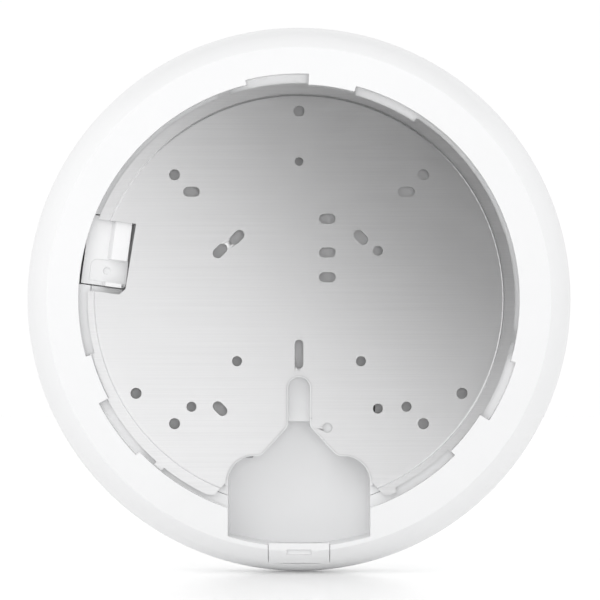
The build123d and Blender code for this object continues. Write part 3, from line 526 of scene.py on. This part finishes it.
@dataclass
class PieceCard:
    """What a finished piece is called, rides on, is made of and stands for."""

    name: str
    body: Body
    slot: Slot
    finish: Finish
    stands_for: tuple[str, ...] = ()

    def release(self, mesh: bmesh.types.BMesh, shading: Shading) -> bpy.types.Object:
        """Turns a finished mesh into a piece of the model.

        Args:
            mesh: The mesh, which is freed.
            shading: How its faces meet.

        Returns:
            The piece, riding on its body.
        """
        set_shading(mesh, shading)
        data = bpy.data.meshes.new(self.name)
        mesh.to_mesh(data)
        mesh.free()
        data.materials.append(BOOK.of(self.finish))
        piece = bpy.data.objects.new(self.name, data)
        bpy.context.scene.collection.objects.link(piece)
        even = piece.modifiers.new("even_shading", "WEIGHTED_NORMAL")
        even.keep_sharp = True
        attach(piece, self.body.value)
        if self.stands_for:
            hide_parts(*self.stands_for)
        log.info("built %s: %d faces on %s", self.name, len(data.polygons), self.body.value)
        return piece


@dataclass
class EasedCopy:
    """A machined node's own shape, with its edges eased, standing in for the node."""

    node: str
    body: Body
    slot: Slot
    finish: Finish
    ease: float = 0.2
    clamp: bool = False

    def build(self) -> bpy.types.Object:
        """Builds the piece.

        Returns:
            The piece.
        """
        mesh = bmesh.new()
        mesh.from_mesh(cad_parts[self.node].data)
        bmesh.ops.remove_doubles(mesh, verts=mesh.verts, dist=MERGE)
        crisp = Shading.MOULDED.value
        edges = [edge for edge in mesh.edges if edge.calc_face_angle(0.0) > crisp]
        bmesh.ops.bevel(
            mesh,
            geom=edges,
            offset=self.ease * MM,
            offset_type="OFFSET",
            segments=EASE_SEGMENTS,
            profile=EASE_PROFILE,
            material=-1,
            affect="EDGES",
            clamp_overlap=self.clamp,
        )
        card = PieceCard(
            f"{self.node}_eased", self.body, self.slot, self.finish, (self.node,)
        )
        return card.release(mesh, Shading.MOULDED)


class TurnedSection:
    """Section of a turned piece, drawn as (radius, depth) in millimetres and spun about Y."""

    def __init__(self, start: Point) -> None:
        """Starts the section.

        Args:
            start: Radius and depth of its first point.
        """
        self.mesh: bmesh.types.BMesh = bmesh.new()
        self.first = self._dot(start)
        self.last = self.first

    def _dot(self, place: Point) -> bmesh.types.BMVert:
        """A point of the section."""
        return self.mesh.verts.new((place[0] * MM, place[1] * MM, 0.0))

    def line(self, *places: Point) -> "TurnedSection":
        """Adds straight runs.

        Args:
            places: Radius and depth of each next point.

        Returns:
            The section.
        """
        for place in places:
            dot = self._dot(place)
            self.mesh.edges.new((self.last, dot))
            self.last = dot
        return self

    def arc(self, centre: Point, degrees: float, steps: int) -> "TurnedSection":
        """Adds an arc by spinning the last point about a centre.

        Args:
            centre: Radius and depth of the arc's centre.
            degrees: Sweep, positive from the radius towards the depth.
            steps: Straight steps in the arc.

        Returns:
            The section.
        """
        swept = bmesh.ops.spin(
            self.mesh,
            geom=[self.last],
            cent=(centre[0] * MM, centre[1] * MM, 0.0),
            axis=(0.0, 0.0, 1.0),
            angle=math.radians(degrees),
            steps=steps,
        )
        self.last = next(
            item for item in swept["geom_last"] if isinstance(item, bmesh.types.BMVert)
        )
        return self

    def close(self) -> "TurnedSection":
        """Joins the last point to the first."""
        self.mesh.edges.new((self.last, self.first))
        return self

    def turn(self, steps: int, ease: float = 0.0) -> bmesh.types.BMesh:
        """Spins the section a full turn about Y.

        Args:
            steps: Steps in the full turn.
            ease: Millimetres by which crisp edges are eased.

        Returns:
            The closed mesh, its faces outward.
        """
        bmesh.ops.spin(
            self.mesh,
            geom=[*self.mesh.verts, *self.mesh.edges],
            cent=(0.0, 0.0, 0.0),
            axis=(0.0, 1.0, 0.0),
            angle=math.tau,
            steps=steps,
            use_merge=True,
        )
        bmesh.ops.remove_doubles(self.mesh, verts=self.mesh.verts, dist=MERGE)
        if ease:
            limit = Shading.TURNED.value
            crisp = [edge for edge in self.mesh.edges if edge.calc_face_angle(0.0) > limit]
            bmesh.ops.bevel(
                self.mesh,
                geom=crisp,
                offset=ease * MM,
                offset_type="OFFSET",
                segments=EASE_SEGMENTS,
                profile=EASE_PROFILE,
                material=-1,
                affect="EDGES",
                clamp_overlap=True,
            )
        bmesh.ops.recalc_face_normals(self.mesh, faces=self.mesh.faces)
        return self.mesh


# ---- sub-assemblies -----------------------------------------------------------------------------


@dataclass
class CeilingPlate:
    """Stamped stainless plate that screws to the ceiling."""

    ease: float = 0.1

    def build(self) -> list[bpy.types.Object]:
        """Builds the plate.

        Returns:
            The plate's piece.
        """
        plate = EasedCopy(
            "mounting_plate", Body.PLATE, Slot.STAINLESS_PLATE, PLATE_STEEL, self.ease, clamp=True
        )
        return [plate.build()]

    def dress(self) -> None:
        """The plate's finish comes with its piece."""


@dataclass
class RearHousing:
    """Rear casing with its bayonet, and the tub of the cable bay."""

    casing_ease: float = 0.28
    bay_ease: float = 0.25
    tray_ease: float = 0.2

    def build(self) -> list[bpy.types.Object]:
        """Builds the casing, the bay and the tray under the latch.

        Returns:
            All three pieces.
        """
        casing = EasedCopy(
            "rear_casing", Body.ACCESS_POINT, Slot.WHITE_MOULDING, WHITE_PLASTIC, self.casing_ease
        )
        bay = EasedCopy(
            "port_bay", Body.ACCESS_POINT, Slot.WHITE_MOULDING, WHITE_PLASTIC, self.bay_ease
        )
        tray = EasedCopy(
            "latch_tray", Body.ACCESS_POINT, Slot.WHITE_MOULDING, WHITE_PLASTIC, self.tray_ease
        )
        return [casing.build(), bay.build(), tray.build()]

    def dress(self) -> None:
        """The housing's finish comes with its pieces."""


@dataclass
class ReleaseLatch:
    """Sprung paddle on its pin, with a wound torsion spring."""

    angle: float = 277.5
    axis_radius: float = 86.0
    axis_depth: float = 10.2
    coil_radius: float = 1.9
    wire_radius: float = 0.28
    coil_span: Point = (-12.1, -4.9)
    coil_turns: int = 12
    turn_steps: int = 20
    leg_depth: float = 7.1
    ease: float = 0.16

    def bench_matrix(self) -> Matrix:
        """Placement of the latch's own axes: outwards, along the tangent, towards the ceiling."""
        turn = math.radians(self.angle)
        out = Vector((math.sin(turn), 0.0, math.cos(turn)))
        along = Vector((-math.cos(turn), 0.0, math.sin(turn)))
        axes = Matrix((out, along, Vector((0.0, -1.0, 0.0)))).transposed().to_4x4()
        middle = out * self.axis_radius * MM
        middle.y = self.axis_depth * MM
        return Matrix.Translation(middle) @ axes

    def spring(self) -> bpy.types.Object:
        """Winds the torsion spring: a leg up to the paddle, then a coil round the pin.

        Returns:
            The spring's piece.
        """
        mesh = bmesh.new()
        start, end = (place * MM for place in self.coil_span)
        wire = bmesh.ops.create_circle(
            mesh, cap_ends=True, segments=10, radius=self.wire_radius * MM
        )
        leg_height = (self.axis_depth - self.leg_depth) * MM
        bmesh.ops.translate(
            mesh, verts=wire["verts"], vec=(self.coil_radius * MM, start, leg_height)
        )
        lifted = bmesh.ops.extrude_face_region(mesh, geom=mesh.faces[:], use_keep_orig=True)
        tip = [item for item in lifted["geom"] if isinstance(item, bmesh.types.BMVert)]
        bmesh.ops.translate(mesh, verts=tip, vec=(0.0, 0.0, -leg_height))
        front = [item for item in lifted["geom"] if isinstance(item, bmesh.types.BMFace)]
        bmesh.ops.spin(
            mesh,
            geom=front,
            cent=(0.0, 0.0, 0.0),
            axis=(0.0, 1.0, 0.0),
            dvec=(0.0, (end - start) / (self.coil_turns * self.turn_steps), 0.0),
            angle=math.tau * self.coil_turns,
            steps=self.coil_turns * self.turn_steps,
        )
        bmesh.ops.remove_doubles(mesh, verts=mesh.verts, dist=MERGE)
        inside = [
            face
            for face in mesh.faces
            if all(len(edge.link_faces) > 2 for edge in face.edges)
        ]
        bmesh.ops.delete(mesh, geom=inside, context="FACES_ONLY")
        bmesh.ops.transform(mesh, matrix=self.bench_matrix(), verts=mesh.verts)
        bmesh.ops.recalc_face_normals(mesh, faces=mesh.faces)
        card = PieceCard(
            "latch_spring_wound", Body.LATCH, Slot.SPRING_STEEL, SPRING_WIRE, ("latch_spring",)
        )
        return card.release(mesh, Shading.TURNED)

    def build(self) -> list[bpy.types.Object]:
        """Builds the paddle and its spring.

        Returns:
            Both pieces.
        """
        paddle = EasedCopy(
            "release_latch", Body.LATCH, Slot.WHITE_MOULDING, WHITE_PLASTIC, self.ease, clamp=False
        )
        return [paddle.build(), self.spring()]

    def dress(self) -> None:
        """Dresses the pin."""
        dress_node("latch_pin", PIN_STEEL)


@dataclass
class CablePlug:
    """Plug that closes the cable's way out of the bay."""

    ease: float = 0.25

    def build(self) -> list[bpy.types.Object]:
        """Builds the plug.

        Returns:
            The plug's piece.
        """
        plug = EasedCopy(
            "cable_exit_plug", Body.PLUG, Slot.WHITE_MOULDING, WHITE_PLASTIC, self.ease
        )
        return [plug.build()]

    def dress(self) -> None:
        """The plug's finish comes with its piece."""


@dataclass
class FrontDome:
    """Front cover, light ring and centre cap, turned about the same axis."""

    outer_radius: float = 110.0
    seam_depth: float = 22.0
    front_depth: float = 48.0
    shoulder_radius: float = 14.0
    shoulder_land: float = 0.5
    cover_wall: float = 2.2
    tongue: tuple[float, float, float] = (107.2, 105.6, 18.5)
    ring_outer: float = 33.0
    ring_inner: float = 30.0
    fit: float = 0.15
    ring_flange: float = 1.5
    ring_seat: float = 1.2
    ring_proud: float = 0.25
    cap_skirt: float = 1.8
    steps: int = 224
    ease: float = 0.2
    tongue_root: float = 2.0
    seat_margin: float = 2.0
    shoulder_steps: tuple[int, int] = (18, 12)
    crown_steps: tuple[int, int] = (22, 16)
    bead_steps: int = 8
    cap_steps: int = 14
    crown_radius: float = field(init=False)
    crown_centre: float = field(init=False)
    tangent: float = field(init=False)

    def __post_init__(self) -> None:
        """Works out the crown's sphere, tangent to the shoulder."""
        centre_radius, centre_depth = self.shoulder_centre()
        height = self.front_depth - centre_depth
        self.crown_radius = (centre_radius**2 + height**2 - self.shoulder_radius**2) / (
            2 * (height - self.shoulder_radius)
        )
        self.crown_centre = self.front_depth - self.crown_radius
        self.tangent = math.degrees(math.atan2(centre_depth - self.crown_centre, centre_radius))

    def shoulder_centre(self) -> Point:
        """Centre of the shoulder's arc."""
        return (self.outer_radius - self.shoulder_radius, self.seam_depth + self.shoulder_land)

    def crown_depth(self, radius: float, wall: float = 0.0) -> float:
        """Depth of the crown at a radius, a wall inside its face."""
        return self.crown_centre + math.sqrt((self.crown_radius - wall) ** 2 - radius**2)

    def crown_sweep(self, start: float, end: float, wall: float = 0.0) -> float:
        """Degrees on the crown's circle from one radius to another."""
        sphere = self.crown_radius - wall
        return math.degrees(math.acos(end / sphere) - math.acos(start / sphere))

    def seat_depth(self) -> float:
        """Depth of the cover's inner face beside the ring."""
        return self.crown_depth(self.ring_outer + self.seat_margin, self.cover_wall) - self.fit

    def cover(self) -> bpy.types.Object:
        """Turns the domed cover with its tongue.

        Returns:
            The cover's piece.
        """
        centre = self.shoulder_centre()
        tongue_outer, tongue_inner, tongue_foot = self.tongue
        hole = self.ring_outer + self.fit
        edge = self.outer_radius - self.cover_wall
        joint = centre[0] + self.shoulder_radius * math.cos(math.radians(self.tangent))
        inner_joint = centre[0] + (self.shoulder_radius - self.cover_wall) * math.cos(
            math.radians(self.tangent)
        )
        section = TurnedSection((self.outer_radius, self.seam_depth))
        section.line((self.outer_radius, centre[1]))
        root = self.seam_depth + self.tongue_root
        shoulder_steps, shoulder_inner_steps = self.shoulder_steps
        crown_steps, crown_inner_steps = self.crown_steps
        section.arc(centre, self.tangent, shoulder_steps)
        section.arc((0.0, self.crown_centre), self.crown_sweep(joint, hole), crown_steps)
        section.line((hole, self.crown_depth(hole, self.cover_wall)))
        inner_sweep = self.crown_sweep(hole, inner_joint, self.cover_wall)
        section.arc((0.0, self.crown_centre), inner_sweep, crown_inner_steps)
        section.arc(centre, -self.tangent, shoulder_inner_steps)
        section.line((edge, root), (tongue_inner, root))
        section.line((tongue_inner, tongue_foot), (tongue_outer, tongue_foot))
        section.line((tongue_outer, self.seam_depth)).close()
        card = PieceCard(
            "front_cover_turned",
            Body.ACCESS_POINT,
            Slot.WHITE_COVER,
            COVER_PLASTIC,
            ("front_cover",),
        )
        return card.release(section.turn(self.steps, self.ease), Shading.TURNED)

    def ring(self) -> bpy.types.Object:
        """Turns the light ring, its face a shallow bead.

        Returns:
            The ring's piece.
        """
        seat = self.seat_depth()
        flange_inner = self.ring_inner - self.ring_flange
        flange_outer = self.ring_outer + self.ring_flange
        top = seat - self.ring_seat
        outer_edge = self.crown_depth(self.ring_outer)
        inner_edge = self.crown_depth(self.ring_inner)
        half = (self.ring_outer - self.ring_inner) / 2
        bead = (half**2 + self.ring_proud**2) / (2 * self.ring_proud)
        sweep = math.degrees(math.asin(half / bead)) * 2
        middle = (self.ring_outer + self.ring_inner) / 2
        section = TurnedSection((self.ring_inner, seat))
        section.line((flange_inner, seat), (flange_inner, top), (flange_outer, top))
        section.line((flange_outer, seat), (self.ring_outer, seat), (self.ring_outer, outer_edge))
        centre = (middle, (outer_edge + inner_edge) / 2 - bead + self.ring_proud)
        section.arc(centre, sweep, self.bead_steps)
        section.close()
        card = PieceCard(
            "light_ring_turned",
            Body.ACCESS_POINT,
            Slot.RING_DIFFUSER,
            DIFFUSER,
            ("light_ring",),
        )
        return card.release(section.turn(self.steps, self.ease), Shading.TURNED)

    def cap(self) -> bpy.types.Object:
        """Turns the centre cap.

        Returns:
            The cap's piece.
        """
        edge = self.ring_inner - self.fit
        inner = self.front_depth - self.cover_wall
        section = TurnedSection((0.0, inner))
        section.line((edge - self.cap_skirt, inner), (edge - self.cap_skirt, self.seat_depth()))
        section.line((edge, self.seat_depth()), (edge, self.crown_depth(edge)))
        section.arc((0.0, self.crown_centre), self.crown_sweep(edge, 0.0), self.cap_steps)
        card = PieceCard(
            "centre_cap_turned",
            Body.ACCESS_POINT,
            Slot.WHITE_COVER,
            COVER_PLASTIC,
            ("centre_cap",),
        )
        return card.release(section.turn(self.steps, self.ease), Shading.TURNED)

    def build(self) -> list[bpy.types.Object]:
        """Builds the cover, ring and cap.

        Returns:
            The three pieces.
        """
        return [self.cover(), self.ring(), self.cap()]

    def dress(self) -> None:
        """The dome's finishes come with its pieces."""


@dataclass
class Chassis:
    """Cast heat sink behind the plate, and the screws that hold it."""

    ease: float = 0.25

    def build(self) -> list[bpy.types.Object]:
        """Builds the casting.

        Returns:
            The casting's piece.
        """
        sink = EasedCopy(
            "heat_sink", Body.ACCESS_POINT, Slot.CAST_ALUMINIUM, SINK_METAL, self.ease
        )
        return [sink.build()]

    def dress(self) -> None:
        """Dresses the screws."""
        for node in ("base_screws", "board_screws", "reflector_screws", "led_board_screws"):
            dress_node(node, ZINC)


@dataclass
class EthernetPort:
    """Shielded network socket and the recessed reset button beside it."""

    ease: float = 0.12

    def build(self) -> list[bpy.types.Object]:
        """Builds the socket's shell and insert.

        Returns:
            Both pieces.
        """
        shell = EasedCopy("jack_shell", Body.ACCESS_POINT, Slot.TINNED_STEEL, TINNED, self.ease)
        insert = EasedCopy(
            "jack_insert", Body.ACCESS_POINT, Slot.BLACK_PLASTIC, BLACK_PLASTIC, self.ease
        )
        return [shell.build(), insert.build()]

    def dress(self) -> None:
        """Dresses the contacts, the button and its switch."""
        dress_node("jack_contacts", GOLD)
        dress_node("reset_button", GREY_PLASTIC)
        dress_node("reset_switch", BLACK_PLASTIC)


@dataclass
class Electronics:
    """Main board with its shields, pads and power parts."""

    finishes: dict[str, Finish] = field(
        default_factory=lambda: {
            "main_board": BOARD,
            "processor_shield": TINNED,
            "radio_shield_low": TINNED,
            "radio_shield_high": TINNED,
            "processor_thermal_pad": PAD,
            "radio_thermal_pad_low": PAD,
            "radio_thermal_pad_high": PAD,
            "lan_transformer": BLACK_PLASTIC,
            "power_transformer": BLACK_PLASTIC,
            "power_capacitors": CAN_METAL,
        }
    )

    def build(self) -> list[bpy.types.Object]:
        """The board keeps its machined nodes, so nothing is built."""
        return []

    def dress(self) -> None:
        """Dresses each node."""
        for node, finish in self.finishes.items():
            dress_node(node, finish)


@dataclass
class AntennaDeck:
    """Reflector with its antennas, and the light board under the cover."""

    antenna_count: int = 4

    def build(self) -> list[bpy.types.Object]:
        """The deck keeps its machined nodes, so nothing is built."""
        return []

    def dress(self) -> None:
        """Dresses each node."""
        dress_node("antenna_reflector", REFLECTOR_METAL)
        for number in range(1, self.antenna_count + 1):
            dress_node(f"antenna_{number}", REFLECTOR_METAL)
        dress_node("reflector_standoffs", BRASS)
        dress_node("led_standoffs", BRASS)
        dress_node("led_board", BOARD)
        dress_node("status_leds", LENS)


# ---- studio ------------------------------------------------------------------------------------


@dataclass
class SoftLight:
    """A square soft light aimed at a point."""

    name: str
    place: Triple
    aim: Triple
    size: float
    power: float
    gloss: bool = True

    def build(self) -> bpy.types.Object:
        """Builds the light.

        Returns:
            The light's object, unseen by the camera itself.
        """
        lamp = bpy.data.lights.new(self.name, "AREA")
        lamp.shape = "SQUARE"
        lamp.size = self.size
        lamp.energy = self.power
        light = bpy.data.objects.new(self.name, lamp)
        bpy.context.scene.collection.objects.link(light)
        light.location = self.place
        look = Vector(self.aim) - Vector(self.place)
        light.rotation_mode = "QUATERNION"
        light.rotation_quaternion = look.to_track_quat("-Z", "Y")
        light.visible_camera = False
        light.visible_glossy = self.gloss
        log.info("placed light %s", self.name)
        return light


@dataclass(frozen=True)
class ShadeCard:
    """Dim square card that only glossy surfaces see."""

    name: str
    middle: Triple
    tilt: float
    swing: float
    size: float
    tone: float

    def build(self) -> bpy.types.Object:
        """Hangs the card, tipped up from level and then swung about the Y axis.

        Returns:
            The card's object.
        """
        mesh = bmesh.new()
        bmesh.ops.create_grid(mesh, x_segments=2, y_segments=2, size=self.size / 2)
        tip = Matrix.Rotation(math.radians(self.tilt), 4, "X")
        turn = Matrix.Rotation(math.radians(self.swing), 4, "Y")
        bmesh.ops.transform(mesh, matrix=turn @ tip, verts=mesh.verts)
        bmesh.ops.translate(mesh, verts=mesh.verts, vec=self.middle)
        data = bpy.data.meshes.new(self.name)
        mesh.to_mesh(data)
        mesh.free()
        material = bpy.data.materials.new(self.name)
        material.use_nodes = True
        shader = material.node_tree.nodes["Principled BSDF"]
        shader.inputs["Base Color"].default_value = (0.0, 0.0, 0.0, 1.0)
        shader.inputs["Specular IOR Level"].default_value = 0.0
        shader.inputs["Emission Color"].default_value = (self.tone, self.tone, self.tone, 1.0)
        shader.inputs["Emission Strength"].default_value = 1.0
        data.materials.append(material)
        card = bpy.data.objects.new(self.name, data)
        bpy.context.scene.collection.objects.link(card)
        card.visible_camera = False
        card.visible_diffuse = False
        card.visible_shadow = False
        card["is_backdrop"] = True
        log.info("hung %s", self.name)
        return card


@dataclass
class Studio:
    """Pale floor, soft lights, surrounding white and the camera."""

    camera_distance: float = 1.279
    camera_offset: Point = (0.0004, -0.0003)
    sensor_width: float = 36.0
    view_width: float = 0.23916
    floor_size: float = 3.4
    ambient: float = 1.012
    shades: tuple[ShadeCard, ...] = (
        ShadeCard("shade_high_right", (0.4, -0.4, 0.4), 90.0, -45.0, 1.1, 0.16),
        ShadeCard("shade_overhead", (0.05, -0.05, 0.5), 0.0, 0.0, 1.0, 0.0),
    )
    lights: tuple[SoftLight, ...] = (
        SoftLight("key_high_left", (-0.9, -1.3, 1.3), (0.0, 0.0, 0.0), 0.9, 4.0),
        SoftLight("fill_low", (0.1, -1.1, -0.04), (0.0, 0.0, -0.1), 0.5, 2.6, gloss=False),
    )

    def floor(self, ground: float) -> bpy.types.Object:
        """Lays the floor.

        Args:
            ground: Height of the floor.

        Returns:
            The floor's object.
        """
        mesh = bmesh.new()
        bmesh.ops.create_grid(mesh, x_segments=4, y_segments=4, size=self.floor_size / 2)
        bmesh.ops.translate(mesh, verts=mesh.verts, vec=(0.0, 0.0, ground))
        data = bpy.data.meshes.new("studio_floor")
        mesh.to_mesh(data)
        mesh.free()
        data.materials.append(BOOK.of(FLOOR))
        floor = bpy.data.objects.new("studio_floor", data)
        bpy.context.scene.collection.objects.link(floor)
        floor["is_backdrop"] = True
        log.info("laid the floor")
        return floor

    def surround(self) -> None:
        """Makes the white surround."""
        world = bpy.data.worlds.new("studio_white")
        world.use_nodes = True
        bpy.context.scene.world = world
        background = world.node_tree.nodes["Background"]
        background.inputs["Color"].default_value = (1.0, 1.0, 1.0, 1.0)
        background.inputs["Strength"].default_value = self.ambient
        bpy.context.scene.view_settings.view_transform = "Standard"
        log.info("made the surround")

    def camera(self) -> bpy.types.Object:
        """Sets the camera up in front of the ceiling side.

        Returns:
            The camera's object.
        """
        data = bpy.data.cameras.new("studio_camera")
        data.sensor_width = self.sensor_width
        data.lens = self.sensor_width * self.camera_distance / self.view_width
        data.clip_end = 100.0
        camera = bpy.data.objects.new("studio_camera", data)
        bpy.context.scene.collection.objects.link(camera)
        right, up = self.camera_offset
        camera.location = (right, -self.camera_distance, up)
        camera.rotation_euler = (math.pi / 2, 0.0, 0.0)
        bpy.context.scene.camera = camera
        log.info("camera with a %.1f mm lens", data.lens)
        return camera

    def build(self, ground: float) -> None:
        """Builds the whole studio.

        Args:
            ground: Height of the floor.
        """
        self.camera()
        self.floor(ground)
        self.surround()
        for shade in self.shades:
            shade.build()
        for light in self.lights:
            light.build()


def main() -> None:
    """Builds the studio and every sub-assembly."""
    logging.basicConfig(level=logging.INFO, format="%(name)s: %(message)s")
    low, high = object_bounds()
    Studio().build(low.z)
    assemblies = (
        CeilingPlate(),
        RearHousing(),
        ReleaseLatch(),
        CablePlug(),
        FrontDome(),
        Chassis(),
        EthernetPort(),
        Electronics(),
        AntennaDeck(),
    )
    for assembly in assemblies:
        pieces = assembly.build()
        assembly.dress()
        log.info("%s: %d pieces", type(assembly).__name__, len(pieces))


if __name__ == "__main__":
    main()
